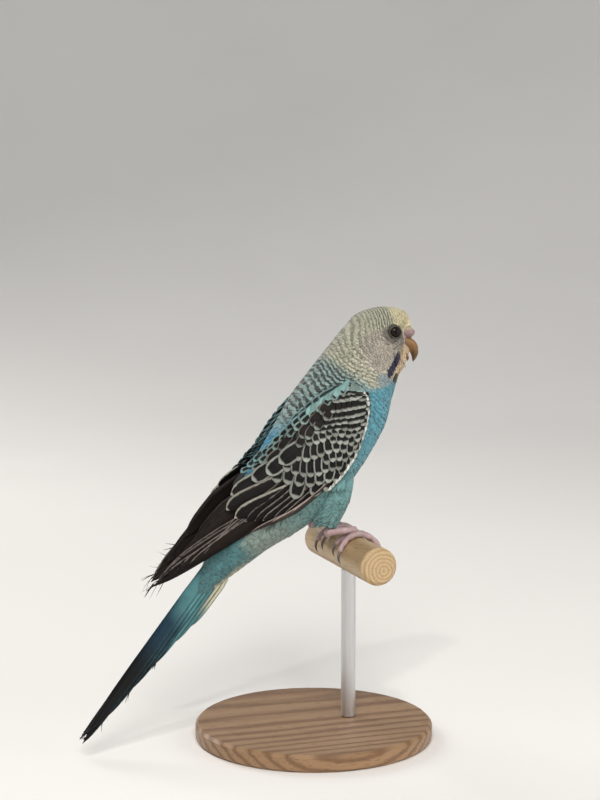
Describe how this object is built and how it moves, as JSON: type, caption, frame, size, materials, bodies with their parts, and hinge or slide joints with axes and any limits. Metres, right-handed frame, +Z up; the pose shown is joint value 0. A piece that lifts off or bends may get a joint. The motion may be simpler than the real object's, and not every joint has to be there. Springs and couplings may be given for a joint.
{
  "type": "budgerigar",
  "caption": "Life-size budgerigar gripping a short round perch on a rod and a flat disc base, body upright, wings folded, long tail hanging clear of the base.",
  "frame": {"origin": "middle of the underside of the stand's base", "axes": "+Z up, +X the way the bird faces, +Y its left"},
  "size_m": [0.1258, 0.084, 0.1524],
  "materials": {
    "crown": "short dense feathers, pale cream, finely barred dark grey from the crown back",
    "nape": "feathers barred dark grey on pale blue-grey, growing into scallops",
    "body": "soft sky-blue contour feathers, greener towards the vent",
    "wing": "black-brown feathers with pale grey-cream edges",
    "tail": "turquoise at the base, navy to black towards the tip",
    "horn": "ochre horn, satin",
    "cere": "soft waxy skin, pinkish lilac",
    "eye": "wet, near black",
    "leg": "scaled skin, greyish pink",
    "claw": "dark grey horn",
    "stand_wood": "turned wood, oiled",
    "stand_metal": "brushed",
    "perch_wood": "plain round dowel, sanded"
  },
  "bodies": {
    "root": {"head": "crown", "neck": "nape", "torso": "body", "rump": "body", "tail": "tail", "cere": "cere", "beak_upper": "horn", "beak_lower": "horn", "stand_base": "stand_wood", "stand_rod": "stand_metal", "stand_perch": "perch_wood", "eye_right": "eye", "wing_right": "wing", "thigh_right": "body", "shank_right": "leg", "foot_right": "leg", "claw1_right": "claw", "claw2_right": "claw", "claw3_right": "claw", "claw4_right": "claw", "eye_left": "eye", "wing_left": "wing", "thigh_left": "body", "shank_left": "leg", "foot_left": "leg", "claw1_left": "claw", "claw2_left": "claw", "claw3_left": "claw", "claw4_left": "claw"}
  },
  "joints": []
}
